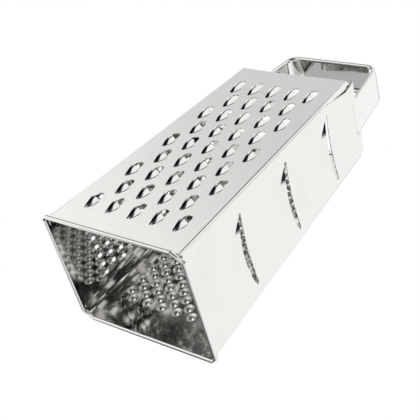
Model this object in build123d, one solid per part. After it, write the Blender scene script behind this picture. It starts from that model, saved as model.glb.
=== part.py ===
from build123d import *
import math
import os

# A four-sided kitchen grater: four punched sheet walls that lean in towards a strap handle.
# Lengths are millimetres, angles are degrees. The origin is the centre of the base, on the
# surface that the grater stands on, +Z points to the handle and -Y to the coarse wall.

# Body, measured over the outer faces of the walls
base_width = 108.0
base_depth = 82.0
top_width = 90.0
top_depth = 62.0
front_height = 202.5
side_height = 206.5
sheet = 0.6

# Corners, where the front and back walls turn a flange in behind the side walls
corner_radius = 2.5
corner_strip = 0.2
flange_width = 7.0
corner_lift = 3.0
top_sag = 1.6
top_fold = 4.0

# Rolled hem along the foot of each wall, kept clear of the corners
hem_diameter = 3.0
hem_flat = 0.15
hem_curl = 295.0
hem_front_gap = 6.6
hem_side_gap = 4.2
hem_plain_gap = 2.0
bead_facets = 12
bead_clearance = 0.3

# Coarse wall: scooped teeth with their noses towards the base
coarse_counts = (5, 4)
coarse_rows = 9
coarse_first_row = 18.5
coarse_row_pitch = 18.58
coarse_pitch_low = 17.6
coarse_pitch_high = 15.0
coarse_half_width = 3.3
coarse_height = 2.6
coarse_hood = 9.5
coarse_slot = 7.5
coarse_facets = 10
coarse_slot_facets = 6

# Medium wall: smaller teeth, each a ridge with flat flanks
medium_counts = (8, 7)
medium_rows = 18
medium_first_row = 23.0
medium_row_pitch = 8.9
medium_pitch_low = 7.3
medium_pitch_high = 6.2
medium_half_width = 1.9
medium_height = 1.5
medium_hood = 4.0
medium_slot = 2.6

# Fine wall: pierced nibs, each a four-sided burr round a hole
fine_counts = (6, 7)
fine_rows = 27
fine_first_row = 25.0
fine_row_pitch = 5.6
fine_pitch_low = 12.4
fine_pitch_high = 10.6
fine_foot = 4.4
fine_mouth = 2.6
fine_height = 1.6
fine_lip = 0.25

# Slicing wall: three raised blades with their edges towards the handle
slot_rows = 3
slot_first_row = 56.0
slot_pitch = 54.6
slot_chord_low = 53.0
slot_chord_high = 49.0
slot_end = 1.0
slot_edge_sag = 2.6
blade_edge_sag = 7.2
blade_drop = 14.5
blade_height = 2.5

# Notch near the top of each side wall's lapped edge, and of the flange behind it: heights, and
# how far in from the corner each edge runs at them
notch_low = 166.0
notch_high = 198.0
notch_depth = 6.0
notch_tip = 2.4
notch_rounding = 12.0
flange_notch_high = 184.0
flange_notch_depth = 1.3
flange_notch_tip = 3.6

# Strap handle, with its edges curled in towards the fingers
strap_width = 26.0
strap_curl_diameter = 3.0
strap_curl_facets = 12
strap_lean = 8.0
strap_bend_radius = 11.0
overall_height = 254.0
recess_depth = 5.0
recess_clearance = 0.3
joggle = 2.5
tab_width = 20.0
tab_length = 14.0

# Overrun of every cut past the face that it leaves by
overrun = 1.0

side_tilt = math.atan2((base_width - top_width) / 2, front_height)
front_tilt = math.atan2((base_depth - top_depth) / 2, front_height)
level_sheet_x = sheet / math.cos(side_tilt)
level_sheet_y = sheet / math.cos(front_tilt)
blank_height = overall_height
far = base_width + base_depth + overall_height


def half_width(height):
    """Half the body's width at a height, over the outer faces of the side walls."""
    return base_width / 2 - height * math.tan(side_tilt)


def half_depth(height):
    """Half the body's depth at a height, over the outer faces of the front and back walls."""
    return base_depth / 2 - height * math.tan(front_tilt)


def faceted(low, high):
    """Closed solid with flat faces between two outlines that have the same number of corners."""
    rings = [[Vector(*point) for point in outline] for outline in (low, high)]
    corners = range(len(low))
    outlines = [rings[0], rings[1]]
    outlines += [
        [rings[0][i - 1], rings[0][i], rings[1][i], rings[1][i - 1]] for i in corners
    ]
    faces = [Face(Wire.make_polygon(outline, close=True)) for outline in outlines]
    return Solid(Shell(faces))


def pyramid(outline, tip):
    """Closed solid with flat faces from an outline to a point."""
    ring = [Vector(*point) for point in outline]
    sides = [
        Face(Wire.make_polygon([ring[i - 1], ring[i], Vector(*tip)], close=True))
        for i in range(len(ring))
    ]
    return Solid(Shell([Face(Wire.make_polygon(ring, close=True)), *sides]))


def leaning_block(inset_x, inset_y, low, high):
    """Block between the four leaning wall faces, set in by level distances."""
    rings = []
    for height in (low, high):
        x = half_width(height) - inset_x
        y = half_depth(height) - inset_y
        rings.append([(-x, -y, height), (x, -y, height), (x, y, height), (-x, y, height)])
    return faceted(*rings)


def rounded_block(inset_x, inset_y, low, high, radius):
    """Leaning block with its four corner edges rounded."""
    block = leaning_block(inset_x, inset_y, low, high)
    rise = (high - low) / 2
    return fillet([edge for edge in block.edges() if edge.length > rise], radius)


def slab(low, high):
    """Level slab that reaches past the body on every side."""
    return Pos(0, 0, (low + high) / 2) * Box(far, far, high - low)


def half_space(x, y):
    """Block that holds everything on one side of a level axis."""
    return Pos(x * far / 2, y * far / 2, 0) * Box(far, far, 2 * far)


def wall_plane(name):
    """Frame of a wall's outer face: x along its foot, y up its slope, z straight out of it."""
    lean_x = (math.cos(side_tilt), math.sin(side_tilt))
    lean_y = (math.cos(front_tilt), math.sin(front_tilt))
    frames = {
        "front": ((0, -base_depth / 2, 0), (1, 0, 0), (0, -lean_y[0], lean_y[1])),
        "right": ((base_width / 2, 0, 0), (0, 1, 0), (lean_x[0], 0, lean_x[1])),
        "back": ((0, base_depth / 2, 0), (-1, 0, 0), (0, lean_y[0], lean_y[1])),
        "left": ((-base_width / 2, 0, 0), (0, -1, 0), (-lean_x[0], 0, lean_x[1])),
    }
    origin, along, outward = frames[name]
    return Plane(origin=origin, x_dir=along, z_dir=outward)


def row_places(counts, rows, first_row, row_pitch, pitch_low, pitch_high):
    """Places of a wall's teeth, in rows that alternate between two counts and draw together."""
    places = []
    for row in range(rows):
        count = counts[row % len(counts)]
        pitch = pitch_low + (pitch_high - pitch_low) * row / (rows - 1)
        for column in range(count):
            x = (column - (count - 1) / 2) * pitch
            places.append((x, first_row + row * row_pitch))
    return places


def rolled_hem(start, end, tilt):
    """Hem curled out and up along a wall's foot, pressed flat where it stands."""
    outer = hem_diameter / 2
    centre_out = outer - sheet
    centre_up = (outer - hem_flat - centre_out * math.sin(tilt)) / math.cos(tilt)
    opening = math.radians(hem_curl - 180)
    gap_edge = (far * math.cos(opening), far * math.sin(opening))
    gap = make_face(Polyline((0, 0), (-far, 0), (-far, far), gap_edge, close=True))
    rise = corner_lift + sheet - centre_up
    web = Pos(-centre_out - sheet / 2, rise / 2) * Rectangle(sheet, rise)
    section = Circle(outer) - Circle(outer - sheet) - gap + web
    section_plane = Plane(origin=(end, 0, 0), x_dir=(0, 0, 1), z_dir=(-1, 0, 0))
    return extrude(section_plane * Pos(centre_out, centre_up) * section, end - start)


def corner_bead():
    """Crushed length of hem that turns the front right corner, clear of the side wall's hem."""
    outer = hem_diameter / 2
    height = outer - hem_flat
    out = outer - sheet
    limit = hem_side_gap - base_depth / 2
    start = Vector(base_width / 2 - hem_front_gap, -base_depth / 2 - out, height)
    end = Vector(base_width / 2 + out, limit, height)
    way = end - start
    start -= way.normalized() * outer
    section = Plane(origin=start, z_dir=way) * RegularPolygon(outer, bead_facets)
    bead = extrude(section, way.length + 2 * outer)
    reach = 2 * (out + outer)
    inside = Box(base_width + reach, base_depth + reach, far)
    return bead & inside & (Pos(0, limit - bead_clearance, 0) * half_space(0, -1))


def tooth_slot(length, half_width, mouth, facets):
    """Cut through the sheet from a tooth's mouth towards the handle, its far end rounded."""
    end = mouth + length - half_width
    outline = Pos(0, (mouth + end) / 2) * Rectangle(2 * half_width, end - mouth)
    outline += Pos(0, end) * RegularPolygon(half_width, facets)
    return Pos(0, 0, -sheet - overrun) * extrude(outline, sheet + 2 * overrun)


def coarse_tooth():
    """Scoop that rises from its nose to its mouth, and the cuts that open it."""
    half, high, length = coarse_half_width, coarse_height, coarse_hood
    radius = (half**2 + high**2) / (2 * high)
    lean = Rot(math.degrees(math.atan2(high, length)), 0, 0)

    def bar(size):
        """Faceted bar along the scoop's slope, its crown line through the nose."""
        section = RegularPolygon(size, coarse_facets, major_radius=False)
        upright = Pos(0, -2 * length, -radius) * Rot(-90, 0, 0)
        return lean * upright * extrude(section, 4 * length)

    hood_room = Pos(0, length / 2, high / 2 - sheet / 4) * Box(4 * half, length, high + sheet / 2)
    hollow_room = Pos(0, (length + overrun) / 2, 0) * Box(4 * half, length + overrun, 4 * high)
    slot = tooth_slot(coarse_slot, half - sheet / 2, length, coarse_slot_facets)
    return bar(radius) & hood_room, [bar(radius - sheet) & hollow_room, slot]


def medium_tooth():
    """Ridged hood and the cuts that open it, nose at the origin."""
    half, high, length = medium_half_width, medium_height, medium_hood
    sunk = -sheet / 2
    mouth = [(-half, sunk), (-half, 0), (0, high), (half, 0), (half, sunk)]
    hood = pyramid([(x, length, z) for x, z in mouth], (0, 0, sunk / 2))
    crest = high - sheet * math.hypot(high, half) / half
    inner_half = half * crest / high
    depth = -sheet - overrun
    run = length * (crest - depth) / crest
    inside = [(-inner_half, depth), (-inner_half, 0), (0, crest), (inner_half, 0), (inner_half, depth)]
    hollow = pyramid([(x, length, z) for x, z in inside], (0, length - run, depth))
    slot = Pos(0, length + medium_slot / 2, sunk) * Box(
        2 * inner_half, medium_slot, sheet + 2 * overrun
    )
    return hood, [hollow, slot]


def fine_nib():
    """Four-sided burr that stands out of the sheet, and the tapered hole through it."""
    taper = math.degrees(math.atan2((fine_foot - fine_mouth) / 2, fine_height))
    spread = 2 * math.tan(math.radians(taper))
    sunk = sheet / 2
    foot = fine_foot + spread * sunk
    burr = extrude(Rot(0, 0, 45) * Rectangle(foot, foot), fine_height + sunk, taper=taper)
    depth = sheet + overrun
    inner = fine_foot - 2 * fine_lip + spread * depth
    hole_height = depth + fine_height + sheet / 2
    hole = extrude(Rot(0, 0, 45) * Rectangle(inner, inner), hole_height, taper=taper)
    return Pos(0, 0, -sunk) * burr, [Pos(0, 0, -depth) * hole]


def punch(wall, plane, tooth, places):
    """Wall with a tooth drawn up at each place, then opened."""
    hood, cuts = tooth
    seats = [plane.location * Pos(x, s, 0) for x, s in places]
    wall = wall.fuse(*[seat * hood for seat in seats])
    return wall.cut(*[seat * cut for seat in seats for cut in cuts])


def arc_below(chord, sag, drop):
    """Face from an arc that sags between two ends, down to a straight line."""
    half = chord / 2
    arc = ThreePointArc((-half, 0), (0, -sag), (half, 0))
    rest = Polyline((half, 0), (half, -drop), (-half, -drop), (-half, 0))
    return make_face([arc, rest])


def blade_slot(chord):
    """Face of the opening between the slot's upper edge and the blade's edge."""
    half = chord / 2
    upper = ThreePointArc((-half, slot_end), (0, slot_end - slot_edge_sag), (half, slot_end))
    lower = ThreePointArc((half, 0), (0, -blade_edge_sag), (-half, 0))
    ends = [Line((half, slot_end), (half, 0)), Line((-half, 0), (-half, slot_end))]
    return make_face([upper, ends[0], lower, ends[1]])


def slicing_blade(chord):
    """Bulged blade, its hollow and the slot above its edge, the slot's ends on the x axis."""
    half = chord / 2
    slope = blade_height / (blade_drop - blade_edge_sag)
    crown = slope * blade_drop
    radius = (half**2 + crown**2) / (2 * crown)
    lean = Pos(0, 0, crown) * Rot(math.degrees(math.atan(slope)), 0, 0)
    reach = 4 * blade_drop
    depth = sheet + overrun

    def bar(size):
        """Round bar under the blade's slope."""
        return lean * Pos(0, 0, -radius) * Rot(90, 0, 0) * Cylinder(size, reach)

    below = arc_below(chord, blade_edge_sag, 2 * blade_drop)
    hood = Pos(0, 0, -sheet / 2) * extrude(below, crown + sheet)
    hollow = Pos(0, 0, -depth) * extrude(below, crown + 2 * depth)
    slot = Pos(0, 0, -depth) * extrude(blade_slot(chord), crown + 2 * depth)
    return hood & bar(radius), [hollow & bar(radius - sheet), slot]


def cut_blades(wall, plane):
    """Slicing wall with its blades pressed out."""
    for row in range(slot_rows):
        share = row / (slot_rows - 1)
        chord = slot_chord_low + (slot_chord_high - slot_chord_low) * share
        wall = punch(wall, plane, slicing_blade(chord), [(0, slot_first_row + row * slot_pitch)])
    return wall


def notch_tool(plane, points, depth):
    """Tool for a wall's lapped corner, from the corner in to an edge given by its setbacks."""
    path = [
        (setback - half_depth(height), height / math.cos(side_tilt)) for setback, height in points
    ]
    outside = -base_depth / 2 - overrun
    past = path[-1][1] + overrun
    rest = Polyline(
        path[-1], (path[-1][0], past), (outside, past), (outside, path[0][1]), path[0]
    )
    face = make_face([FilletPolyline(*path, radius=notch_rounding), rest])
    return plane.location * Pos(0, 0, -depth) * extrude(face, depth + overrun)


def side_notch(plane, depth):
    """Tool for the notch in a side wall's lapped edge."""
    points = [(corner_strip, notch_low), (notch_depth, notch_high), (notch_tip, side_height)]
    return notch_tool(plane, points, depth)


def flange_notch(plane):
    """Tool for the flange behind a side wall's notch, which leaves the gap beside it open."""
    depth = 2 * sheet + overrun
    points = [
        (flange_notch_depth, notch_low),
        (flange_notch_depth, flange_notch_high),
        (flange_notch_tip, side_height),
    ]
    return side_notch(plane, depth) - notch_tool(plane, points, depth)


def tray_blank():
    """Front and back walls in one, with rounded corners and flanges behind the side walls."""
    low = -hem_diameter
    outer = rounded_block(level_sheet_x, 0, low, blank_height, corner_radius)
    inner_radius = corner_radius - sheet
    inner = rounded_block(2 * level_sheet_x, level_sheet_y, low, blank_height, inner_radius)
    core = leaning_block(-overrun, flange_width, low, blank_height)
    return outer - inner - core


def folded_edge():
    """Safety fold of the top edge, laid flat against a front or back wall's inside."""
    top = front_height / math.cos(front_tilt)
    low = top - top_sag - top_fold
    half = half_width(front_height) - corner_radius - flange_width
    return Pos(0, (low + top) / 2, -1.5 * sheet) * Box(2 * half, top - low, sheet)


def above_edge():
    """Tool that trims the top edge of a front or back wall to a shallow sagging arc."""
    top = front_height / math.cos(front_tilt)
    half = base_width / 2
    arc = ThreePointArc((-half, top), (0, top - top_sag), (half, top))
    rest = Polyline((half, top), (half, far), (-half, far), (-half, top))
    depth = base_depth / 2
    return Pos(0, 0, -depth) * extrude(make_face([arc, rest]), depth + overrun)


def tray_wall(plane, side, lap_plane):
    """Front or back wall: plate, corner bends, flanges, hem and folded top edge."""
    wall = tray_blank() & half_space(0, side) & slab(corner_lift, blank_height - overrun)
    half = base_width / 2
    hem = rolled_hem(hem_plain_gap - half, half - hem_front_gap, front_tilt)
    bead = Rot(0, 0, 90 + 90 * side) * corner_bead()
    wall = wall.fuse(plane.location * hem, plane.location * folded_edge(), bead)
    wall = wall & slab(0, blank_height)
    return wall - plane.location * above_edge() - flange_notch(lap_plane)


def side_wall(plane, side):
    """Slicing or medium wall before its openings: a flat lapped plate with a hem."""
    plate = leaning_block(0, corner_strip, corner_lift, side_height)
    plate -= leaning_block(level_sheet_x, -overrun, -overrun, side_height + overrun)
    half = base_depth / 2
    hem = rolled_hem(hem_side_gap - half, half - hem_plain_gap, side_tilt)
    wall = (plate & half_space(side, 0)).fuse(plane.location * hem)
    wall = wall & slab(0, side_height)
    wall -= side_notch(plane, sheet + overrun)
    recess_width = strap_width + 2 * recess_clearance
    recess = Box(recess_width, 2 * recess_depth, 4 * sheet)
    return wall - plane.location * Pos(0, side_height / math.cos(side_tilt), 0) * recess


def strap_section():
    """Section of the handle strap: a flat web with both edges curled in, each curl faceted."""
    outer = strap_curl_diameter / 2
    half = strap_width / 2 - outer
    section = Pos(0, -sheet / 2) * Rectangle(2 * half, sheet)
    for side in (-1, 1):
        rings = [RegularPolygon(size, strap_curl_facets) for size in (outer, outer - sheet)]
        curl = rings[0] - rings[1]
        curl -= Pos(-side * outer, 0) * Rectangle(2 * outer, 2 * outer)
        section += Pos(side * half, -outer) * curl
    return section


def strap_foot():
    """Place where the right leg's outer face meets the wall, x and height."""
    height = side_height - recess_depth
    return half_width(height), height


def strap_tab():
    """Joggled tab that laps the inside of the right wall below the recess."""
    x, z = strap_foot()
    s, c = math.sin(math.radians(strap_lean)), math.cos(math.radians(strap_lean))
    slope = math.tan(side_tilt)
    start = (x - joggle * s, z + joggle * c)
    lap = x - level_sheet_x
    low = (lap + tab_length * slope, z - tab_length)
    outline = Polyline(
        start,
        (lap, z),
        low,
        (low[0] - level_sheet_x, low[1]),
        (lap - level_sheet_x, z),
        (start[0] - sheet * c, start[1] - sheet * s),
        close=True,
    )
    return extrude(Plane.XZ * make_face(outline), tab_width / 2, both=True)


def strap_half():
    """Right leg of the handle, its bend and half of the top bar."""
    x, z = strap_foot()
    s, c = math.sin(math.radians(strap_lean)), math.cos(math.radians(strap_lean))
    centre_z = overall_height - strap_bend_radius
    centre_x = x - (strap_bend_radius + (centre_z - z) * s) / c
    leg = (centre_z + strap_bend_radius * s - z) / c - joggle
    leg_plane = Plane(
        origin=(x - joggle * s, 0, z + joggle * c), x_dir=(0, -1, 0), z_dir=(-s, 0, c)
    )
    top_plane = Plane(origin=(centre_x, 0, overall_height), x_dir=(0, -1, 0), z_dir=(-1, 0, 0))
    axis = Axis((centre_x, 0, centre_z), (0, 1, 0))
    section = strap_section()
    bend = revolve(top_plane * section, axis, 90 - strap_lean)
    return extrude(leg_plane * section, leg).fuse(
        bend, extrude(top_plane * section, centre_x), strap_tab()
    )


def handle():
    """Strap bent over the open top, with a leg and a joggled tab at each side wall."""
    right = strap_half()
    return right.fuse(mirror(right, Plane.YZ)).clean()


def coarse_panel():
    """Front wall with its coarse teeth."""
    plane = wall_plane("front")
    places = row_places(
        coarse_counts,
        coarse_rows,
        coarse_first_row,
        coarse_row_pitch,
        coarse_pitch_low,
        coarse_pitch_high,
    )
    wall = tray_wall(plane, -1, wall_plane("right"))
    return punch(wall, plane, coarse_tooth(), places)


def fine_panel():
    """Back wall with its pierced nibs."""
    plane = wall_plane("back")
    places = row_places(
        fine_counts,
        fine_rows,
        fine_first_row,
        fine_row_pitch,
        fine_pitch_low,
        fine_pitch_high,
    )
    wall = tray_wall(plane, 1, wall_plane("left"))
    return punch(wall, plane, fine_nib(), places)


def medium_panel():
    """Left wall with its medium teeth."""
    plane = wall_plane("left")
    places = row_places(
        medium_counts,
        medium_rows,
        medium_first_row,
        medium_row_pitch,
        medium_pitch_low,
        medium_pitch_high,
    )
    return punch(side_wall(plane, -1), plane, medium_tooth(), places)


def slicer_panel():
    """Right wall with its slicing blades."""
    plane = wall_plane("right")
    return cut_blades(side_wall(plane, 1), plane)


nodes = {
    "coarse_panel": coarse_panel,
    "slicer_panel": slicer_panel,
    "fine_panel": fine_panel,
    "medium_panel": medium_panel,
    "handle": handle,
}

os.makedirs("parts", exist_ok=True)
for name, build in nodes.items():
    export_step(build(), "parts/" + name + ".step")
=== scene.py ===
"""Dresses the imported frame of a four-sided kitchen grater and sets its studio."""

import logging
import math
from dataclasses import dataclass
from enum import Enum, IntEnum
from typing import Callable, Sequence

import bmesh
import bpy
from bmesh.types import BMEdge, BMesh, BMFace, BMVert
from bpy.types import Material, Node, NodeSocket, NodeTree, Object
from mathutils import Matrix, Vector


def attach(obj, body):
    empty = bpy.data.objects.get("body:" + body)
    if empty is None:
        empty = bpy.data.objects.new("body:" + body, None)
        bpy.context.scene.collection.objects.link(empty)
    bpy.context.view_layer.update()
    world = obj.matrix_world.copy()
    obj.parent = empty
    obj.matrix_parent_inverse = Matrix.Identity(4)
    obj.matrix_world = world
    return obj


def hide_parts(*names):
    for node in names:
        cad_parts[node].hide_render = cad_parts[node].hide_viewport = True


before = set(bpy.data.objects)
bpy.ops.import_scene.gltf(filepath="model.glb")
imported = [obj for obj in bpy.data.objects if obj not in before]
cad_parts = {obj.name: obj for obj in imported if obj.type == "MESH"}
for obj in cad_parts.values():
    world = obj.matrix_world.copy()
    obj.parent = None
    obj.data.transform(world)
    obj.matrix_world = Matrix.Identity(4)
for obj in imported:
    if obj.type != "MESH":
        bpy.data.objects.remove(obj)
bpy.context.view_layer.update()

Pair = tuple[float, float]
Triple = tuple[float, float, float]
Colour = tuple[float, float, float, float]

LOG = logging.getLogger("grater")
MM = 0.001

# In millimetres: how near counts as level, as one point and as on a plane.
FLAT = 1e-4
MERGE = 1e-3
TOUCH = 1e-5


class Side(Enum):
    """Walls of the body, by the turn in degrees at which each stands."""

    FRONT = 0.0
    RIGHT = 90.0
    BACK = 180.0
    LEFT = 270.0


class Slot(IntEnum):
    """Material slots of a piece, by the kind of surface that each one covers."""

    SHEET = 0
    BACK = 1
    DRAWN = 2
    INSIDE = 3
    TORN = 4


BACK_OF = {Slot.SHEET: Slot.BACK, Slot.DRAWN: Slot.INSIDE, Slot.TORN: Slot.TORN}


@dataclass(frozen=True)
class Body:
    """Sizes that the walls share, in millimetres and degrees, over their outer faces."""

    base_width: float = 108.0
    base_depth: float = 82.0
    top_width: float = 90.0
    top_depth: float = 62.0
    front_height: float = 202.5
    side_height: float = 206.5
    sheet: float = 0.6

    # Corners: bend, start of the walls' edges over the hem, and flange behind the side wall.
    corner_radius: float = 2.5
    corner_lift: float = 3.0
    flange_width: float = 7.0

    # Plain corners close flush: after a short level strip the flange steps in by the sheet.
    flush: float = 0.35
    joggle: float = 0.9
    joggle_gap: float = 0.04

    # Hem at the foot: outer radius, depth to which its underside is ground, and curl.
    hem_radius: float = 1.5
    hem_flat: float = 0.15
    hem_curl: float = 295.0
    hem_steps: int = 20

    # End of the hem before a plain corner, and depth of the strap's seat in a side wall.
    hem_gap: float = 2.0
    recess_depth: float = 5.0

    @property
    def side_tilt(self) -> float:
        """Lean of the side walls, in radians."""
        return math.atan2((self.base_width - self.top_width) / 2, self.front_height)

    @property
    def front_tilt(self) -> float:
        """Lean of the front and back walls, in radians."""
        return math.atan2((self.base_depth - self.top_depth) / 2, self.front_height)

    def half_width(self, height: float) -> float:
        """Half the body's width at a height."""
        return self.base_width / 2 - height * math.tan(self.side_tilt)

    def half_depth(self, height: float) -> float:
        """Half the body's depth at a height."""
        return self.base_depth / 2 - height * math.tan(self.front_tilt)

    def tilt(self, side: Side) -> float:
        """Lean of one wall, in radians."""
        return self.front_tilt if side in (Side.FRONT, Side.BACK) else self.side_tilt

    def seat(self, side: Side) -> Matrix:
        """Matrix from a wall's own frame to the body.

        Args:
            side: The wall.

        Returns:
            Matrix whose axes run along the wall's foot, up its slope and straight out of it.
        """
        lean = self.tilt(side)
        reach = self.base_depth if side in (Side.FRONT, Side.BACK) else self.base_width
        stand = Matrix.Rotation(math.pi / 2 - lean, 4, "X")
        out = Matrix.Translation((0, -reach / 2, 0))
        return Matrix.Rotation(math.radians(side.value), 4, "Z") @ out @ stand


@dataclass(frozen=True)
class Lattice:
    """Rows of teeth that alternate between two counts and draw together towards the handle."""

    counts: tuple[int, int]
    rows: int
    first_row: float
    row_pitch: float
    pitch_low: float
    pitch_high: float

    def places(self) -> list[Pair]:
        """Noses of the teeth, along the foot and up the slope."""
        found = []
        for row in range(self.rows):
            count = self.counts[row % 2]
            pitch = self.pitch_low + (self.pitch_high - self.pitch_low) * row / (self.rows - 1)
            for column in range(count):
                x = (column - (count - 1) / 2) * pitch
                found.append((x, self.first_row + row * self.row_pitch))
        return found


def cut(bm: BMesh, point: Triple, normal: Triple, trim: bool = True) -> None:
    """Divides the faces that a plane crosses, and trims away what lies ahead of it.

    Args:
        bm: Mesh to cut.
        point: Point on the plane.
        normal: Direction ahead of the plane.
        trim: Whether what lies ahead goes.
    """
    geom = bm.verts[:] + bm.edges[:] + bm.faces[:]
    bmesh.ops.bisect_plane(
        bm, geom=geom, dist=TOUCH, plane_co=point, plane_no=normal, clear_outer=trim
    )


def sweep(start: float, end: float, steps: int) -> list[float]:
    """Even values from start to end, both ends among them."""
    return [start + (end - start) * i / steps for i in range(steps + 1)]


def picked(geom: Sequence[object], kind: type) -> list:
    """Elements of one kind among those that an operator made."""
    return [element for element in geom if isinstance(element, kind)]


def wire(bm: BMesh, points: Sequence[Sequence[float]]) -> list[BMVert]:
    """Joins points by an open run of edges, and gives its vertices in order."""
    run = [bm.verts.new(point) for point in points]
    for start, end in zip(run, run[1:]):
        bm.edges.new((start, end))
    return run


def leaning_bar(bm: BMesh, radius: float, slope: float, reach: float, segments: int) -> None:
    """Round bar whose crown line climbs through the origin.

    Args:
        bm: Mesh to add to.
        radius: Radius of the bar.
        slope: Rise of the crown line, in radians.
        reach: Length of the bar.
        segments: Faces round the bar.
    """
    made = bmesh.ops.create_cone(
        bm, cap_ends=False, segments=segments, radius1=radius, radius2=radius, depth=reach
    )
    bar = made["verts"]
    bmesh.ops.rotate(bm, verts=bar, matrix=Matrix.Rotation(math.pi / 2, 3, "X"))
    bmesh.ops.translate(bm, verts=bar, vec=(0, 0, -radius))
    bmesh.ops.rotate(bm, verts=bar, matrix=Matrix.Rotation(slope, 3, "X"))


@dataclass(frozen=True)
class Scoop:
    """Tooth pressed up from its nose to its mouth, with a slot ahead of the mouth."""

    half_width: float
    height: float
    hood: float
    slot: float
    slot_half: float
    segments: int
    rings: tuple[float, ...]
    round_nose: float = 1.7
    slot_steps: int = 8
    bar_hoods: float = 8.0
    least_share: float = 1e-3

    def patch(self) -> BMesh:
        """Hood and slot outline, with the nose at the origin."""
        bm = bmesh.new()
        radius = (self.half_width**2 + self.height**2) / (2 * self.height)
        slope = math.atan2(self.height, self.hood)
        leaning_bar(bm, radius, slope, self.bar_hoods * self.hood, self.segments)
        cut(bm, (0, 0, 0), (0, 0, -1))
        cut(bm, (0, self.hood, 0), (0, 1, 0))
        for share in self.rings:
            cut(bm, (0, share * self.hood, 0), (0, 1, 0), trim=False)
        for vert in bm.verts:
            share = max(vert.co.y / self.hood, self.least_share)
            vert.co.z *= (1 - (1 - share) ** self.round_nose) / share
        feet = [v for v in bm.verts if abs(v.co.z) < FLAT and v.co.y > self.hood - FLAT]
        feet.sort(key=lambda v: v.co.x)
        end = self.hood + self.slot - self.slot_half
        arc = []
        for angle in sweep(0, math.pi, self.slot_steps):
            x, y = self.slot_half * math.cos(angle), self.slot_half * math.sin(angle)
            arc.append((x, end + y, 0))
        run = wire(bm, arc)
        bm.edges.new((feet[1], run[0]))
        bm.edges.new((run[-1], feet[0]))
        return bm


@dataclass(frozen=True)
class Nib:
    """Dimple pressed out of the sheet and pierced, so that its rim tears into four points."""

    radius: float = 3.9
    mouth: float = 2.5
    height: float = 0.75
    neck: float = 0.6
    point: float = 0.9
    points: int = 4
    valley: float = 0.1
    sharpness: float = 1.3
    draw_in: float = 1.0
    segments: int = 12
    slope: tuple[Pair, ...] = ((0.0, 0.0), (0.25, 0.15), (0.6, 0.58), (1.0, 1.0))

    def patch(self) -> BMesh:
        """Dimple and torn rim, centred on the origin."""
        bm = bmesh.new()
        profile = []
        for share, rise in self.slope:
            profile.append((self.radius + (self.mouth - self.radius) * share, self.height * rise))
        run = wire(bm, [(x, 0, z) for x, z in profile])
        bmesh.ops.rotate(bm, verts=run, matrix=Matrix.Rotation(math.pi / self.segments, 3, "Z"))
        edges = [bm.edges.get(pair) for pair in zip(run, run[1:])]
        geom = run + edges
        bmesh.ops.spin(
            bm, geom=geom, axis=(0, 0, 1), angle=math.tau, steps=self.segments, use_merge=True
        )
        rim = [e for e in bm.edges if e.is_boundary and e.verts[0].co.z > self.height - FLAT]
        for torn in (False, True):
            geom = bmesh.ops.extrude_edge_only(bm, edges=rim)["geom"]
            for vert in picked(geom, BMVert):
                around = math.atan2(vert.co.y, vert.co.x)
                lift = self.neck
                if torn:
                    tooth = abs(math.cos(self.points / 2 * around)) ** self.sharpness
                    lift = self.point * max(self.valley, tooth)
                vert.co.z += lift
                vert.co.xy *= 1 - self.draw_in * lift / self.mouth
            for face in picked(geom, BMFace):
                face.material_index = Slot.TORN
            rim = [e for e in picked(geom, BMEdge) if e.is_boundary]
        return bm


@dataclass(frozen=True)
class Blade:
    """Bulged slicing blade under a curved slot, its slot's ends on the x axis."""

    chord: float
    slot_end: float = 1.3
    slot_sag: float = 1.9
    edge_sag: float = 7.2
    drop: float = 14.5
    height: float = 2.5
    segments: int = 240
    end_steps: int = 6
    slot_steps: int = 24
    bar_drops: float = 16.0

    def patch(self) -> BMesh:
        """Bulge and slot outline."""
        bm = bmesh.new()
        half = self.chord / 2
        slope = self.height / (self.drop - self.edge_sag)
        crown = slope * self.drop
        radius = (half**2 + crown**2) / (2 * crown)
        leaning_bar(bm, radius, math.atan(slope), self.bar_drops * self.drop, self.segments)
        bmesh.ops.translate(bm, verts=bm.verts, vec=(0, -self.drop, 0))
        cut(bm, (0, 0, 0), (0, 0, -1))
        cut(bm, (0, 0, 0), (0, 1, 0))
        for vert in bm.verts:
            if vert.co.y > -FLAT and vert.co.z > FLAT:
                back = -self.edge_sag * (1 - (vert.co.x / half) ** 2)
                vert.co.z += slope * back
                vert.co.y = back
        feet = [v for v in bm.verts if abs(v.co.z) < FLAT and v.co.y > -FLAT]
        feet.sort(key=lambda v: v.co.x)
        end = self.slot_end
        tip, top = [], []
        for angle in sweep(-math.pi / 2, math.pi / 2, self.end_steps)[1:-1]:
            tip.append((half + end * math.cos(angle), end * (1 + math.sin(angle)), 0))
        for x in sweep(half, -half, self.slot_steps):
            top.append((x, 2 * end - self.slot_sag * (1 - (x / half) ** 2), 0))
        rim = wire(bm, tip + top + [(-x, y, 0) for x, y, _ in reversed(tip)])
        bm.edges.new((feet[-1], rim[0]))
        bm.edges.new((rim[-1], feet[0]))
        return bm


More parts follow.
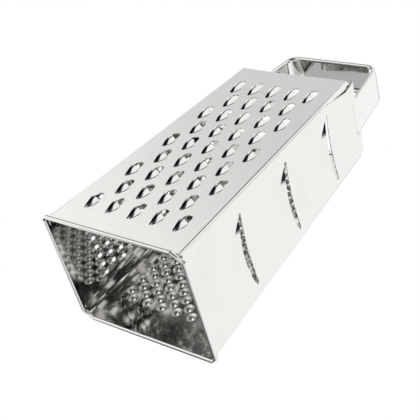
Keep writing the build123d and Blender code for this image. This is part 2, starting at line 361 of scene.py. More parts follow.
class Skin:
    """Outer face of a sheet piece, cut flat, then rolled, bent and given its thickness."""

    crisp: float = 52.0
    longest_mitre: float = 1.5

    def __init__(self) -> None:
        """Starts an empty skin whose vertices remember where they were cut."""
        self.bm = bmesh.new()
        self.root = self.bm.verts.layers.float_vector.new("root")

    def press(self, patch: BMesh, places: Sequence[Pair]) -> None:
        """Sets a copy of a tooth or blade at each place.

        Args:
            patch: The tooth, which is used up.
            places: Its places along the foot and up the slope.
        """
        mesh = bpy.data.meshes.new("punch")
        for face in patch.faces:
            face.smooth = True
            if face.material_index == Slot.SHEET:
                face.material_index = Slot.DRAWN
        patch.to_mesh(mesh)
        patch.free()
        for x, s in places:
            before = len(self.bm.verts)
            self.bm.from_mesh(mesh)
            self.bm.verts.ensure_lookup_table()
            bmesh.ops.translate(self.bm, verts=self.bm.verts[before:], vec=(x, s, 0))
        bpy.data.meshes.remove(mesh)

    def outline(self, **runs: list[Pair]) -> dict[str, list]:
        """Draws the closed outline of the flat plate.

        Args:
            runs: Named stretches of the outline in order, each without its neighbour's corner.

        Returns:
            The vertices of each stretch.
        """
        made, loop = {}, []
        for name, points in runs.items():
            made[name] = [self.bm.verts.new((x, s, 0)) for x, s in points]
            loop += made[name]
        for start, end in zip(loop, loop[1:] + loop[:1]):
            self.bm.edges.new((start, end))
        return made

    def fill(self) -> None:
        """Fills the plate between its outline and its openings with flat faces."""
        edges = [e for e in self.bm.edges if len(e.link_faces) < 2]
        edges = [e for e in edges if all(abs(v.co.z) < FLAT for v in e.verts)]
        made = bmesh.ops.triangle_fill(self.bm, use_beauty=True, edges=edges, normal=(0, 0, 1))
        for face in picked(made["geom"], BMFace):
            face.smooth = False

    def roll(
        self, run: list, steps: Sequence[float], place: Callable[[Vector, float], Vector]
    ) -> list:
        """Carries on from an edge in steps, each vertex along its own path.

        Args:
            run: Vertices along the edge.
            steps: Distances from the edge in the flat sheet, or numbers of stations.
            place: Gives where a vertex of the edge has got to at a step.

        Returns:
            Vertices along the last edge.
        """
        for vert in run:
            vert[self.root] = vert.co
        edges = [self.bm.edges.get(pair) for pair in zip(run, run[1:])]
        for step in steps:
            made = bmesh.ops.extrude_edge_only(self.bm, edges=edges)["geom"]
            verts = picked(made, BMVert)
            edges = [e for e in picked(made, BMEdge) if set(e.verts) <= set(verts)]
            for vert in verts:
                vert.co = place(vert[self.root], step)
        for face in {f for v in verts for f in v.link_faces}:
            face.smooth = True
        return verts

    def thicken(self, thickness: float) -> None:
        """Makes the skin a closed sheet of a thickness, which lies behind its face."""
        bm = self.bm
        bm.normal_update()
        for vert in bm.verts:
            mitre = min(vert.calc_shell_factor(), self.longest_mitre)
            vert[self.root] = -vert.normal * thickness * mitre
        made = bmesh.ops.extrude_face_region(bm, geom=bm.faces[:], use_keep_orig=True)["geom"]
        for vert in picked(made, BMVert):
            vert.co += vert[self.root]
        back = picked(made, BMFace)
        for face in back:
            face.material_index = BACK_OF[face.material_index]
        bmesh.ops.reverse_faces(bm, faces=back)
        bmesh.ops.recalc_face_normals(bm, faces=bm.faces)
        for edge in bm.edges:
            edge.smooth = edge.calc_face_angle(0.0) < math.radians(self.crisp)

    def finish(self, name: str, seat: Matrix, thickness: float) -> Object:
        """Makes the skin a closed sheet, with its largest face looking up, and seats it.

        Args:
            name: Name of the piece.
            seat: Matrix from the skin's frame to the body.
            thickness: Thickness of the sheet.

        Returns:
            The finished object.
        """
        bm = self.bm
        bmesh.ops.remove_doubles(bm, verts=bm.verts, dist=MERGE)
        bmesh.ops.dissolve_degenerate(bm, edges=bm.edges, dist=FLAT)
        bmesh.ops.recalc_face_normals(bm, faces=bm.faces)
        flat = max(bm.faces, key=lambda f: f.calc_area())
        if flat.normal.z < 0:
            bmesh.ops.reverse_faces(bm, faces=bm.faces)
        self.thicken(thickness)
        mesh = bpy.data.meshes.new(name)
        bm.to_mesh(mesh)
        bm.free()
        mesh.transform(Matrix.Scale(MM, 4) @ seat)
        for vert in mesh.vertices:
            vert.co.z = max(vert.co.z, 0.0)
        piece = bpy.data.objects.new(name, mesh)
        bpy.context.scene.collection.objects.link(piece)
        return piece


class Shade:
    """Node tree that is written one node at a time."""

    def __init__(self, tree: NodeTree) -> None:
        """Clears the tree."""
        self.tree = tree
        tree.nodes.clear()

    def add(self, kind: str, settings: dict | None = None, **sockets: object) -> Node:
        """Adds a node.

        Args:
            kind: Node type without its prefix.
            settings: Properties of the node.
            sockets: Values or output sockets for its inputs, by name with underscores.

        Returns:
            The node.
        """
        node = self.tree.nodes.new("ShaderNode" + kind)
        for key, value in (settings or {}).items():
            setattr(node, key, value)
        for key, value in sockets.items():
            self.put(node, key.replace("_", " "), value)
        return node

    def put(self, node: Node, key: str | int, value: object) -> None:
        """Links a socket to an input, or sets the input's value."""
        socket = node.inputs[key]
        if isinstance(value, NodeSocket):
            self.tree.links.new(value, socket)
        else:
            socket.default_value = value

    def feed(self, node: Node, *values: object) -> NodeSocket:
        """Fills a node's inputs in order and gives its first output."""
        for index, value in enumerate(values):
            self.put(node, index, value)
        return node.outputs[0]

    def math(self, operation: str, *values: object) -> NodeSocket:
        """Result of a sum on sockets or numbers."""
        return self.feed(self.add("Math", {"operation": operation}), *values)

    def mix(self, share: object, *shaders: Node) -> NodeSocket:
        """Mix of two shaders."""
        return self.feed(self.add("MixShader"), share, *(s.outputs[0] for s in shaders))

    def noise(self, place: NodeSocket, kind: Triple) -> NodeSocket:
        """Noise at a place, by scale, detail and roughness."""
        scale, detail, roughness = kind
        node = self.add("TexNoise", Vector=place, Scale=scale, Detail=detail, Roughness=roughness)
        return node.outputs[0]

    def ramp(self, value: object, span: Pair, low: float, high: float) -> NodeSocket:
        """Smooth step from low to high while a value crosses a span."""
        node = self.add("MapRange", {"interpolation_type": "SMOOTHSTEP"})
        return self.feed(node, value, *span, low, high)


@dataclass(frozen=True)
class Polish:
    """Haze, smudges, rolling grain and ripple of polished sheet, as one shared group."""

    # Noises: scale per metre, detail and roughness. The grain is drawn out along the height.
    cloud: Triple = (22.0, 3.0, 0.55)
    smear: Triple = (75.0, 4.0, 0.62)
    swell: Triple = (28.0, 1.0, 0.3)
    grain: Triple = (1.0, 2.0, 0.5)
    grain_stretch: Triple = (2600.0, 2600.0, 26.0)

    # Values of the noises between which their marks fade in.
    cloud_span: Pair = (0.48, 0.72)
    smear_span: Pair = (0.4, 0.7)
    grain_span: Pair = (0.62, 0.8)
    least_smear: float = 0.2

    # What the marks do to roughness, height and tone.
    grain_roughness: float = 0.05
    grain_height: float = -0.004
    smudge_tone: float = -0.05

    sockets: tuple[tuple[str, str, tuple[str, ...]], ...] = (
        ("INPUT", "Vector", ("Place",)),
        ("INPUT", "Float", ("Roughness", "Haze", "Grain", "Ripple")),
        ("INPUT", "Color", ("Colour",)),
        ("OUTPUT", "Float", ("Roughness", "Height")),
        ("OUTPUT", "Color", ("Colour",)),
    )

    def group(self) -> NodeTree:
        """Builds the group."""
        tree = bpy.data.node_groups.new("sheet_polish", "ShaderNodeTree")
        for way, kind, names in self.sockets:
            for name in names:
                tree.interface.new_socket(name, in_out=way, socket_type="NodeSocket" + kind)
        sketch = Shade(tree)
        given = tree.nodes.new("NodeGroupInput").outputs
        result = tree.nodes.new("NodeGroupOutput")
        place = given["Place"]
        along = sketch.add("Mapping", Vector=place, Scale=self.grain_stretch).outputs[0]
        haze = sketch.ramp(sketch.noise(place, self.cloud), self.cloud_span, 0.0, 1.0)
        smear = sketch.ramp(sketch.noise(place, self.smear), self.smear_span, self.least_smear, 1.0)
        grain = sketch.ramp(sketch.noise(along, self.grain), self.grain_span, 0.0, 1.0)
        smudge = sketch.math("MULTIPLY", haze, smear)
        marks = sketch.math("MULTIPLY", grain, given["Grain"])
        rough = sketch.math("MULTIPLY_ADD", smudge, given["Haze"], given["Roughness"])
        rough = sketch.math("MULTIPLY_ADD", marks, self.grain_roughness, rough)
        sketch.put(result, "Roughness", rough)
        swell = sketch.math("MULTIPLY", sketch.noise(place, self.swell), given["Ripple"])
        high = sketch.math("MULTIPLY_ADD", marks, self.grain_height, swell)
        sketch.put(result, "Height", high)
        tone = sketch.math("MULTIPLY_ADD", smudge, self.smudge_tone, 1.0)
        colour = given["Colour"]
        dull = sketch.add("MixRGB", {"blend_type": "MULTIPLY"}, Fac=1.0, Color1=colour, Color2=tone)
        sketch.put(result, "Colour", dull.outputs[0])
        return tree


POLISHED = (0.68, 0.672, 0.657, 1.0)
# Painted highlight: a lighter copy of the polished steel colour, which brightens the inside of the
# fine wall's dimples.
PAINTED_HIGHLIGHT = (0.95, 0.94, 0.925, 1.0)
# Painted shade: a darker copy of the polished steel colour, which darkens the fine wall's torn
# points like the shade inside the pierced holes.
PAINTED_SHADE = (0.3, 0.295, 0.285, 1.0)


@dataclass(frozen=True)
class Steel:
    """Finish of one kind of surface; on the fine wall's dimples its colour carries painted light
    and shade.
    """

    roughness: float = 0.03
    colour: Colour = POLISHED
    haze: float = 0.05
    grain: float = 1.0
    ripple: float = 1.0
    relief: float = 0.00012

    def material(self, name: str, polish: NodeTree) -> Material:
        """Makes this finish.

        Args:
            name: Name of the material.
            polish: The shared group of Polish.

        Returns:
            The material.
        """
        material = bpy.data.materials.new(name)
        material.use_nodes = True
        sketch = Shade(material.node_tree)
        group = sketch.add(
            "Group",
            {"node_tree": polish},
            Place=sketch.add("TexCoord").outputs["Object"],
            Roughness=self.roughness,
            Haze=self.haze,
            Grain=self.grain,
            Ripple=self.ripple,
            Colour=self.colour,
        )
        bump = sketch.add(
            "Bump", Height=group.outputs["Height"], Strength=1.0, Distance=self.relief
        )
        shader = sketch.add("BsdfPrincipled", Metallic=1.0, Normal=bump.outputs[0])
        sketch.put(shader, "Base Color", group.outputs["Colour"])
        sketch.put(shader, "Roughness", group.outputs["Roughness"])
        sketch.add("OutputMaterial", Surface=shader.outputs[0])
        return material


@dataclass(frozen=True)
class SheetPiece:
    """Piece made of steel sheet, with a finish for each of its slots."""

    steels: tuple[Steel, ...]

    def dress(self, piece: Object, polish: NodeTree) -> None:
        """Fills the piece's material slots in the order of Slot.

        Args:
            piece: The built piece.
            polish: The shared group of Polish.
        """
        for slot, steel in zip(Slot, self.steels):
            material = steel.material(f"{piece.name}_{slot.name.lower()}", polish)
            piece.data.materials.append(material)


@dataclass(frozen=True)
class CornerBead:
    """Hem of a notched corner, crushed and turned round to the side wall's hem."""

    reach: float = 3.7
    sides: int = 20

    # Rings along the bead, as shares of its length, and how far it is squeezed at its middle.
    ring_span: float = 0.4
    ring_steps: int = 8
    squeeze: float = 0.16
    crease_depth: float = 0.5
    crease_turn: float = 0.6
    crease_width: float = 0.3

    # Gusset of crumpled sheet between the corner's lower edge and the bead.
    corner_round: float = 2.0
    corner_steps: int = 8
    gusset_rows: int = 5
    crest_share: float = 0.8
    bulge: float = 0.35
    crumple: float = 0.3
    crumple_waves: float = 2.5
    bulge_way: Triple = (0.7, -0.7, -0.4)
    rear_shift: Triple = (-0.25, 0.25, 0.25)

    def mesh(self, body: Body, gap: float) -> BMesh:
        """Bead and gusset at the front right corner, in millimetres.

        Args:
            body: Sizes of the body.
            gap: Distance from the corner at which the wall's straight hem stops.

        Returns:
            Closed shells in the body's frame.
        """
        radius = body.hem_radius
        out = radius - body.sheet
        level = radius - body.hem_flat
        start = Vector((body.base_width / 2 - gap, -body.base_depth / 2 - out, level))
        end = Vector((body.base_width / 2 + out, self.reach - body.base_depth / 2, level))
        way = (end - start).normalized()
        length = (end - start).length
        bm = bmesh.new()
        bmesh.ops.create_cone(
            bm, cap_ends=True, segments=self.sides, radius1=radius, radius2=radius, depth=length
        )
        for share in sweep(-self.ring_span, self.ring_span, self.ring_steps):
            cut(bm, (0, 0, share * length), (0, 0, 1), trim=False)
        for vert in bm.verts:
            pinch = math.cos(math.pi * vert.co.z / length) ** 2
            around = math.atan2(vert.co.y, vert.co.x)
            crease = math.exp(-(((around - self.crease_turn) / self.crease_width) ** 2))
            vert.co.xy *= 1 - pinch * (self.squeeze + self.crease_depth * crease)
        stand = way.to_track_quat("Z", "Y").to_matrix().to_4x4()
        stand.translation = (start + end) / 2
        bmesh.ops.transform(bm, verts=bm.verts, matrix=stand)
        self.add_gusset(bm, body, start, end)
        return bm

    def corner_edge(self, body: Body, start: Vector, end: Vector) -> list[Vector]:
        """Lower edge of the corner, from the bead's start to its end."""
        lift = body.corner_lift
        x, y = body.half_width(lift), -body.half_depth(lift)
        middle = Vector((x - self.corner_round, y + self.corner_round, lift))
        edge = [Vector((start.x, y, lift)), Vector(((start.x + middle.x) / 2, y, lift))]
        for angle in sweep(-math.pi / 2, 0, self.corner_steps):
            edge.append(middle + self.corner_round * Vector((math.cos(angle), math.sin(angle), 0)))
        return edge + [Vector((x, end.y, lift))]

    def add_gusset(self, bm: BMesh, body: Body, start: Vector, end: Vector) -> None:
        """Adds the crumpled sheet between the corner's lower edge and the bead.

        Args:
            bm: Mesh to add to.
            body: Sizes of the body.
            start: End of the bead at this wall's hem.
            end: End of the bead at the side wall's hem.
        """
        outer = self.corner_edge(body, start, end)
        crest = Vector((0, 0, body.hem_radius * self.crest_share))
        rows = []
        for row in sweep(0, 1, self.gusset_rows):
            points = []
            for index, edge in enumerate(outer):
                along = index / (len(outer) - 1)
                point = edge.lerp(start.lerp(end, along) + crest, row)
                wave = self.crumple * math.sin(self.crumple_waves * math.tau * along)
                bulge = math.sin(math.pi * row) * (self.bulge + wave)
                points.append(point + Vector(self.bulge_way) * bulge)
            rows.append(points)
        shift = Vector(self.rear_shift)
        front = [[bm.verts.new(point) for point in points] for points in rows]
        rear = [[bm.verts.new(point + shift) for point in points] for points in rows]
        wide, high = len(outer), len(rows)
        for r in range(high - 1):
            for c in range(wide - 1):
                for grid, hand in ((front, 1), (rear, -1)):
                    ring = [grid[r][c], grid[r][c + 1], grid[r + 1][c + 1], grid[r + 1][c]]
                    bm.faces.new(ring[::hand])
        rim = [(0, c) for c in range(wide)] + [(r, wide - 1) for r in range(1, high)]
        rim += [(high - 1, c) for c in range(wide - 2, -1, -1)]
        rim += [(r, 0) for r in range(high - 2, 0, -1)]
        for (r, c), (s, d) in zip(rim, rim[1:] + rim[:1]):
            bm.faces.new((front[r][c], rear[r][c], rear[s][d], front[s][d]))
        bmesh.ops.recalc_face_normals(bm, faces=bm.faces)


@dataclass(frozen=True)
class TrayWall(SheetPiece):
    """Front or back wall: toothed plate, corner bends, flanges, hem and folded top edge."""

    name: str
    node: str
    side: Side
    tooth: Scoop | Nib
    lattice: Lattice
    body: Body = Body()
    top_sag: float = 1.6
    top_fold: float = 4.0
    hem_notched_gap: float = 6.6
    bead: CornerBead = CornerBead()

    # Above the notch's foot, the flange of the notched corner leans in by a few degrees.
    notch_low: float = 166.0
    notch_rise: float = 16.0
    tuck_turn: float = 13.0

    # Heights up the slope at which the corners have vertices, and steps along and round edges.
    levels: tuple[float, ...] = (
        40, 90, 130, 160, 165.9, 166.1, 170, 174, 178, 181, 184, 187, 190, 193, 196, 199
    )
    top_steps: int = 30
    bend_steps: int = 8
    flange_steps: int = 8
    fold_steps: int = 6
    fold_sheets: float = 1.05
    fold_inset: int = 2
    hem_step: float = 0.1

    def bend_line(self, s: float, hand: int) -> float:
        """Edge of the flat plate at a height up the slope.

        Args:
            s: Height up the slope.
            hand: 1 for the notched corner, which is lapped, -1 for the flush one.

        Returns:
            Place along the foot.
        """
        body = self.body
        level = body.sheet / math.cos(body.side_tilt) if hand > 0 else 0.0
        half = body.half_width(s * math.cos(body.front_tilt))
        return hand * (half - level - body.corner_radius)

    def turn(self, root: Vector, distance: float) -> Vector:
        """Where the sheet has got to at a distance round a corner.

        Args:
            root: Place on the bend line.
            distance: Distance from the bend line in the flat sheet.

        Returns:
            The place in the wall's frame.
        """
        body = self.body
        hand = math.copysign(1, root.x)
        radius = body.corner_radius
        rise = max(0.0, root.y * math.cos(body.front_tilt) - self.notch_low)
        lean = self.tuck_turn if hand > 0 else 0.0
        tuck = math.radians(lean) * min(1.0, rise / self.notch_rise)
        angle = min(distance / radius, math.pi / 2)
        on = max(0.0, distance - radius * math.pi / 2)
        x = radius * math.sin(angle) - on * math.sin(tuck)
        n = -radius * (1 - math.cos(angle)) - on * math.cos(tuck)
        slant = math.tan(body.side_tilt) * math.cos(body.front_tilt)
        if hand < 0:
            share = min(1.0, max(0.0, on - body.flush) / body.joggle)
            x -= share * (body.sheet + body.joggle_gap) / math.cos(body.side_tilt)
        return Vector((root.x + hand * x, root.y + x * slant, n))

    def build(self) -> Object:
        """Cuts, presses and bends the wall."""
        body = self.body
        skin = Skin()
        skin.press(self.tooth.patch(), self.lattice.places())
        rise = math.cos(body.front_tilt)
        low = body.corner_lift / rise
        top = body.front_height / rise
        half = body.base_width / 2
        hem_start = body.hem_gap - half
        hem_end = half - self.hem_notched_gap
        heights = [low, *self.levels]
        span = sweep(self.bend_line(top, 1), self.bend_line(top, -1), self.top_steps)
        curve = [(x, top - self.top_sag * (1 - (x / half) ** 2)) for x in span]
        foot = hem_foot(body, body.front_tilt)
        made = skin.outline(
            hem=[(x, foot) for x in sweep(hem_start, hem_end, 2)],
            step=[(hem_end, low)],
            right=[(self.bend_line(s, 1), s) for s in heights],
            top=curve,
            left=[(self.bend_line(s, -1), s) for s in reversed(heights)],
            tuck=[(hem_start, low - self.hem_step)],
        )
        skin.fill()
        radius = body.corner_radius
        quarter = radius * math.pi / 2
        ahead = [radius * a for a in sweep(0, math.pi / 2, self.bend_steps)[1:]]
        last = quarter + body.flange_width - radius
        flush = quarter + body.flush
        right = made["right"] + made["top"][:1]
        left = made["top"][-1:] + made["left"]
        skin.roll(right, ahead[:-1] + sweep(quarter, last, self.flange_steps), self.turn)
        skin.roll(left, ahead + [flush, flush + body.joggle, last], self.turn)
        roll_hem(skin, made["hem"], body)
        self.fold(skin, made["top"][self.fold_inset : -self.fold_inset])
        piece = skin.finish(self.name, body.seat(self.side), body.sheet)
        self.turn_hem(piece)
        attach(piece, "root")
        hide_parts(self.node)
        return piece

    def turn_hem(self, piece: Object) -> None:
        """Adds the crushed bead of the notched corner to the finished wall."""
        bm = self.bead.mesh(self.body, self.hem_notched_gap)
        turned = Matrix.Rotation(math.radians(self.side.value), 4, "Z")
        bmesh.ops.transform(bm, verts=bm.verts, matrix=Matrix.Scale(MM, 4) @ turned)
        for vert in bm.verts:
            vert.co.z = max(vert.co.z, 0.0)
        for face in bm.faces:
            face.smooth = len(face.verts) < 5
        bm.from_mesh(piece.data)
        bm.to_mesh(piece.data)
        bm.free()

    def fold(self, skin: Skin, run: list) -> None:
        """Folds the top edge, given by its vertices, down flat against the inside."""
        radius = self.fold_sheets * self.body.sheet

        def over(root: Vector, distance: float) -> Vector:
            """Where the folded sheet has got to."""
            angle = min(distance / radius, math.pi)
            down = max(0.0, distance - radius * math.pi)
            in_depth = -radius * (1 - math.cos(angle))
            return root + Vector((0, radius * math.sin(angle) - down, in_depth))

        arc = [radius * a for a in sweep(0, math.pi, self.fold_steps)[1:]]
        skin.roll(run, arc + [arc[-1] + self.top_fold], over)


def hem_foot(body: Body, tilt: float) -> float:
    """Height up the slope of the hem's middle, at which the sheet starts to curl."""
    out = body.hem_radius - body.sheet
    return (body.hem_radius - body.hem_flat - out * math.sin(tilt)) / math.cos(tilt)


def roll_hem(skin: Skin, run: list, body: Body) -> None:
    """Curls the foot of a wall out and up.

    Args:
        skin: The wall.
        run: Vertices along the foot.
        body: Sizes of the body.
    """
    inner = body.hem_radius - body.sheet

    def curl(root: Vector, distance: float) -> Vector:
        """Where the curled sheet has got to."""
        angle = distance / inner
        return root + Vector((0, -inner * math.sin(angle), inner * (1 - math.cos(angle))))

    turn = math.radians(body.hem_curl)
    skin.roll(run, [inner * a for a in sweep(0, turn, body.hem_steps)[1:]], curl)


@dataclass(frozen=True)
class LappedWall(SheetPiece):
    """Side wall: a flat plate that laps the flanges, with teeth or blades, and a hem."""

    name: str
    node: str
    side: Side
    cuts: Sequence[tuple[Scoop | Blade, Sequence[Pair]]]
    body: Body = Body()
    hem_notched_gap: float = 4.2
    recess_half: float = 13.06
    corner_strip: float = 0.2

    # Notched edge, upwards: distance in from the corner and height.
    notch: tuple[Pair, ...] = ((0.2, 150.0), (0.2, 166.0), (6.0, 198.0), (2.4, 206.5))
    notch_rounding: float = 12.0
    notch_steps: int = 6

    def edge(self, height: float, setback: float) -> Pair:
        """Place in the flat plate at a distance in from the notched corner."""
        body = self.body
        return (setback - body.half_depth(height), height / math.cos(body.side_tilt))

    def notched_edge(self) -> list[Pair]:
        """The lapped edge from the handle end down, with its notch's corners rounded."""
        corners = [Vector(self.edge(height, setback)) for setback, height in self.notch]
        points = [corners[-1]]
        for before, corner, after in reversed(list(zip(corners, corners[1:], corners[2:]))):
            points += fillet(after, corner, before, self.notch_rounding, self.notch_steps)
        return [tuple(point) for point in points]

    def build(self) -> Object:
        """Cuts, presses and rolls the wall."""
        body = self.body
        skin = Skin()
        for cutter, places in self.cuts:
            skin.press(cutter.patch(), places)
        rise = math.cos(body.side_tilt)
        low = body.corner_lift / rise
        top = body.side_height / rise
        half = body.base_depth / 2
        foot = hem_foot(body, body.side_tilt)
        flush = body.corner_radius + body.flush + body.joggle_gap
        hem_start = self.hem_notched_gap - half
        hem_end = half - body.hem_gap
        seat, wide = top - body.recess_depth, self.recess_half
        made = skin.outline(
            hem=[(x, foot) for x in (hem_start, 0, hem_end)],
            step=[(hem_end, low)],
            right=[(body.half_depth(body.corner_lift) - flush, low)],
            peak=[(body.half_depth(body.side_height) - flush, top)],
            recess=[(wide, top), (wide, seat), (-wide, seat), (-wide, top)],
            left=self.notched_edge(),
            corner=[self.edge(body.corner_lift, self.corner_strip)],
            tuck=[(hem_start, low)],
        )
        skin.fill()
        roll_hem(skin, made["hem"], body)
        piece = skin.finish(self.name, body.seat(self.side), body.sheet)
        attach(piece, "root")
        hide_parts(self.node)
        return piece


def fillet(before: Vector, corner: Vector, after: Vector, radius: float, steps: int) -> list:
    """Points of an arc that rounds a corner between its neighbours in an outline."""
    back = (before - corner).normalized()
    on = (after - corner).normalized()
    half = back.angle(on) / 2
    reach = radius / math.tan(half)
    centre = corner + (back + on).normalized() * (radius / math.sin(half))
    start = corner + back * reach - centre
    turn = math.pi - 2 * half
    hand = 1 if (back.x * on.y - back.y * on.x) < 0 else -1
    turns = [hand * turn * step / steps for step in range(steps + 1)]
    return [centre + Matrix.Rotation(angle, 2) @ start for angle in turns]


@dataclass(frozen=True)
class Strap(SheetPiece):
    """Handle strap with curled edges, bent over the top, with a joggled tab at each end."""

    body: Body = Body()
    width: float = 26.0
    curl_radius: float = 1.5
    curl_turn: float = 250.0
    lean: float = 8.0
    bend_radius: float = 11.0
    overall_height: float = 254.0
    joggle: float = 0.4
    tab_half: float = 10.0
    tab_length: float = 14.0
    curl_steps: int = 12
    bend_steps: int = 14

    def section(self) -> list[Pair]:
        """Outer side of the strap's section, across the strap and out of it."""
        radius = self.curl_radius
        half = self.width / 2 - radius
        turn = math.radians(self.curl_turn)
        curl = []
        for angle in sweep(turn, 0, self.curl_steps):
            curl.append((half + radius * math.sin(angle), -radius * (1 - math.cos(angle))))
        middle = [(self.tab_half, 0.0), (0.0, 0.0), (-self.tab_half, 0.0)]
        return curl + middle + [(-x, y) for x, y in reversed(curl)]

    def stations(self) -> list[Triple]:
        """Path of the strap's outer face: place across, height and the way that it faces."""
        body = self.body
        height = body.side_height - body.recess_depth
        foot = body.half_width(height)
        lean = math.radians(self.lean)
        centre_z = self.overall_height - self.bend_radius
        centre_x = foot - (self.bend_radius + (centre_z - height) * math.sin(lean)) / math.cos(lean)
        path = [(foot - self.joggle * math.sin(lean), height + self.joggle * math.cos(lean), lean)]
        for angle in sweep(lean, math.pi / 2, self.bend_steps):
            x = centre_x + self.bend_radius * math.cos(angle)
            path.append((x, centre_z + self.bend_radius * math.sin(angle), angle))
        path.append((0.0, self.overall_height, math.pi / 2))
        return path + [(-x, z, math.pi - angle) for x, z, angle in reversed(path[:-1])]

    def build(self) -> Object:
        """Sweeps the section along its path and adds the tabs."""
        skin = Skin()
        path = self.stations()

        def place(root: Vector, station: float) -> Vector:
            """Where a point of the section stands at a station."""
            x, z, angle = path[round(station)]
            out = Vector((math.cos(angle), 0, math.sin(angle)))
            return Vector((x, root.x, z)) + out * root.y

        first = wire(skin.bm, [(x, y, 0) for x, y in self.section()])
        last = skin.roll(first, range(1, len(path)), place)
        for vert in first:
            vert.co = place(vert[skin.root], 0)
        for face in skin.bm.faces:
            face.smooth = True
        for hand, end in ((1, first), (-1, last)):
            web = [v for v in end if abs(v[skin.root].x) < self.tab_half + FLAT]
            web = [v for v in web if v[skin.root].y > -FLAT]
            web.sort(key=lambda v: v.co.y)
            self.tab(skin, web, hand)
        piece = skin.finish("handle_strap", Matrix.Identity(4), self.body.sheet)
        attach(piece, "root")
        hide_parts("handle")
        return piece

    def tab(self, skin: Skin, run: list, hand: int) -> None:
        """Steps the strap's end in behind the wall and laps it down the wall's inside.

        Args:
            skin: The strap.
            run: Vertices along the strap's end.
            hand: 1 for the right end, -1 for the left one.
        """
        body = self.body
        height = body.side_height - body.recess_depth
        lap = body.half_width(height) - body.sheet / math.cos(body.side_tilt)
        low = lap + self.tab_length * math.tan(body.side_tilt)
        spots = [(lap, height), (low, height - self.tab_length)]

        def place(root: Vector, spot: float) -> Vector:
            """Where a point of the tab has got to."""
            x, z = spots[round(spot)]
            return Vector((hand * x, root.y, z))

        skin.roll(run, [0, 1], place)


@dataclass(frozen=True)
class Card:
    """Soft-edged darker patch of the studio round a direction, in degrees."""

    azimuth: float
    elevation: float
    near: float
    far: float
    strength: float

    @property
    def centre(self) -> Vector:
        """Direction of its middle."""
        turn, lift = math.radians(self.azimuth), math.radians(self.elevation)
        level = math.cos(lift)
        return Vector((level * math.cos(turn), level * math.sin(turn), math.sin(lift)))


@dataclass(frozen=True)
class Studio:
    """White studio: camera, surroundings and floor."""

    camera_place: Triple = (0.35698, -0.34549, -0.26085)
    camera_right: Triple = (0.78569298, 0.23688501, 0.57146481)
    camera_down: Triple = (0.19315575, 0.78365229, -0.5904066)
    camera_ahead: Triple = (-0.58768818, 0.57426003, 0.5699544)
    lens: float = 79.57
    sensor: float = 36.0
    clip_start: float = 0.01
    ambient: float = 1.0
    key: float = 1.265
    floor_drop: float = 0.0002
    floor_half: float = 3.0
    floor_colour: Colour = (0.9, 0.9, 0.9, 1.0)
    cards: tuple[Card, ...] = (
        # Dark side of the room, mirrored by the noses of the teeth.
        Card(-112, 42, 6, 14, -0.9),
        Card(-108, 29, 8, 16, -0.97),
        *(Card(-100 - 15 * i, 11 + i, 9, 17, -0.985) for i in range(6)),
        Card(170, 18, 9, 18, -0.985),
        Card(-172, 24, 6, 13, -0.8),
        Card(-84, 3, 8, 16, -0.95),
        Card(-67, -1, 8, 16, -0.9),
        Card(-50, -3, 8, 16, -0.85),
        Card(-44, -36, 20, 36, -0.92),
        # Under the blades.
        Card(1, 9, 7, 12, -0.98),
        Card(-12, 7, 8, 14, -0.96),
        # Inside of the body, seen through the open foot.
        Card(120, -12, 7, 17, -0.9),
        Card(124, -30, 7, 17, -0.9),
        Card(40, -50, 5, 34, -0.45),
        Card(0, -90, 26, 50, -0.14),
        # Shade along the coarse wall, inside of the strap, flange beside the notch.
        Card(-143, 55, 4, 24, -0.3),
        Card(142, -50, 10, 17, -0.5),
        Card(107, 48, 10, 15, -0.97),
    )

    def aim(self) -> None:
        """Sets the camera at the photograph's viewing angle."""
        data = bpy.data.cameras.new("camera")
        data.sensor_width = self.sensor
        data.lens = self.lens
        data.clip_start = self.clip_start
        camera = bpy.data.objects.new("camera", data)
        axes = (Vector(self.camera_right), -Vector(self.camera_down), -Vector(self.camera_ahead))
        stand = Matrix(axes).transposed().to_4x4()
        stand.translation = self.camera_place
        camera.matrix_world = stand
        bpy.context.scene.collection.objects.link(camera)
        bpy.context.scene.camera = camera

    def surround(self) -> None:
        """Builds the white surroundings, with the darker patches that polished steel shows."""
        world = bpy.data.worlds.new("studio")
        bpy.context.scene.world = world
        world.use_nodes = True
        sketch = Shade(world.node_tree)
        way = sketch.add("TexCoord").outputs["Generated"]
        light: object = self.key
        for card in self.cards:
            dot = sketch.add("VectorMath", {"operation": "DOT_PRODUCT"})
            sketch.feed(dot, way, tuple(card.centre))
            span = (math.cos(math.radians(card.far)), math.cos(math.radians(card.near)))
            gain = sketch.ramp(dot.outputs["Value"], span, 1.0, 1.0 + card.strength)
            light = sketch.math("MULTIPLY", light, gain)
        path = sketch.add("LightPath")
        change = sketch.math("SUBTRACT", self.ambient, light)
        light = sketch.math("MULTIPLY_ADD", change, path.outputs["Is Diffuse Ray"], light)
        lit = sketch.add("Background", Color=(1, 1, 1, 1), Strength=light)
        plain = sketch.add("Background", Color=(1, 1, 1, 1), Strength=1.0)
        sketch.add("OutputWorld", Surface=sketch.mix(path.outputs["Is Camera Ray"], lit, plain))

    def lay_floor(self) -> None:
        """Lays a pale floor that only shows from above, and lets light through from below."""
        bm = bmesh.new()
        bmesh.ops.create_grid(bm, x_segments=1, y_segments=1, size=self.floor_half)
        bmesh.ops.translate(bm, verts=bm.verts, vec=(0, 0, -self.floor_drop))
        mesh = bpy.data.meshes.new("floor")
        bm.to_mesh(mesh)
        bm.free()
        floor = bpy.data.objects.new("floor", mesh)
        bpy.context.scene.collection.objects.link(floor)
        material = bpy.data.materials.new("floor")
        material.use_nodes = True
        sketch = Shade(material.node_tree)
        path = sketch.add("LightPath")
        back = sketch.add("NewGeometry").outputs["Backfacing"]
        front = sketch.math("SUBTRACT", 1.0, back)
        seen = sketch.math("MULTIPLY", path.outputs["Is Camera Ray"], front)
        clear = sketch.add("BsdfTransparent")
        pale = sketch.add("BsdfDiffuse", Color=self.floor_colour)
        sketch.add("OutputMaterial", Surface=sketch.mix(seen, clear, pale))
        mesh.materials.append(material)


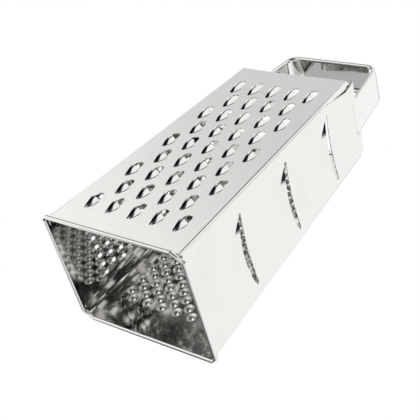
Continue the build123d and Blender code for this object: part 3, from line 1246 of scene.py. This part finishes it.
COARSE = Scoop(3.3, 2.6, 9.5, 7.5, 3.0, 32, (0.06, 0.15, 0.3, 0.5, 0.75))
COARSE_ROWS = Lattice((5, 4), 9, 18.5, 18.58, 17.6, 15.0)
MEDIUM = Scoop(1.9, 1.5, 4.0, 2.6, 1.6, 20, (0.15, 0.5))
MEDIUM_ROWS = Lattice((8, 7), 18, 23.0, 8.9, 7.3, 6.2)
MEDIUM_TEETH = ((MEDIUM, MEDIUM_ROWS.places()),)
FINE_ROWS = Lattice((6, 7), 27, 25.0, 5.6, 12.4, 10.6)
BLADES = tuple((Blade(53.0 - 2.0 * row), [(0.0, 56.0 + 54.6 * row)]) for row in range(3))

SHEET = Steel()
SHEET_BACK = Steel(0.06)
COARSE_STEEL = (SHEET, SHEET_BACK, Steel(0.05), Steel(0.05))
# The fine wall's dimples carry a painted highlight on their inside, and painted shade on their torn
# points.
FINE_STEEL = (SHEET, SHEET_BACK, Steel(0.16), Steel(0.4, PAINTED_HIGHLIGHT), Steel(0.2, PAINTED_SHADE))
SLICING_STEEL = (SHEET, SHEET_BACK, SHEET, SHEET)
MEDIUM_STEEL = (SHEET, SHEET_BACK, Steel(0.15), Steel(0.15))
STRAP_STEEL = (Steel(0.04, ripple=3.0), Steel(0.06, ripple=3.0))

PIECES = (
    TrayWall(COARSE_STEEL, "coarse_wall", "coarse_panel", Side.FRONT, COARSE, COARSE_ROWS),
    TrayWall(FINE_STEEL, "fine_wall", "fine_panel", Side.BACK, Nib(), FINE_ROWS),
    LappedWall(SLICING_STEEL, "slicing_wall", "slicer_panel", Side.RIGHT, BLADES),
    LappedWall(MEDIUM_STEEL, "medium_wall", "medium_panel", Side.LEFT, MEDIUM_TEETH),
    Strap(STRAP_STEEL),
)


def main() -> None:
    """Sets the studio, then builds the pieces in order and dresses them."""
    logging.basicConfig(level=logging.INFO, format="%(name)s: %(message)s")
    bpy.context.scene.view_settings.view_transform = "Standard"
    studio = Studio()
    studio.aim()
    studio.surround()
    studio.lay_floor()
    polish = Polish().group()
    for maker in PIECES:
        piece = maker.build()
        maker.dress(piece, polish)
        LOG.info("%s: %d faces", piece.name, len(piece.data.polygons))


if __name__ == "__main__":
    main()
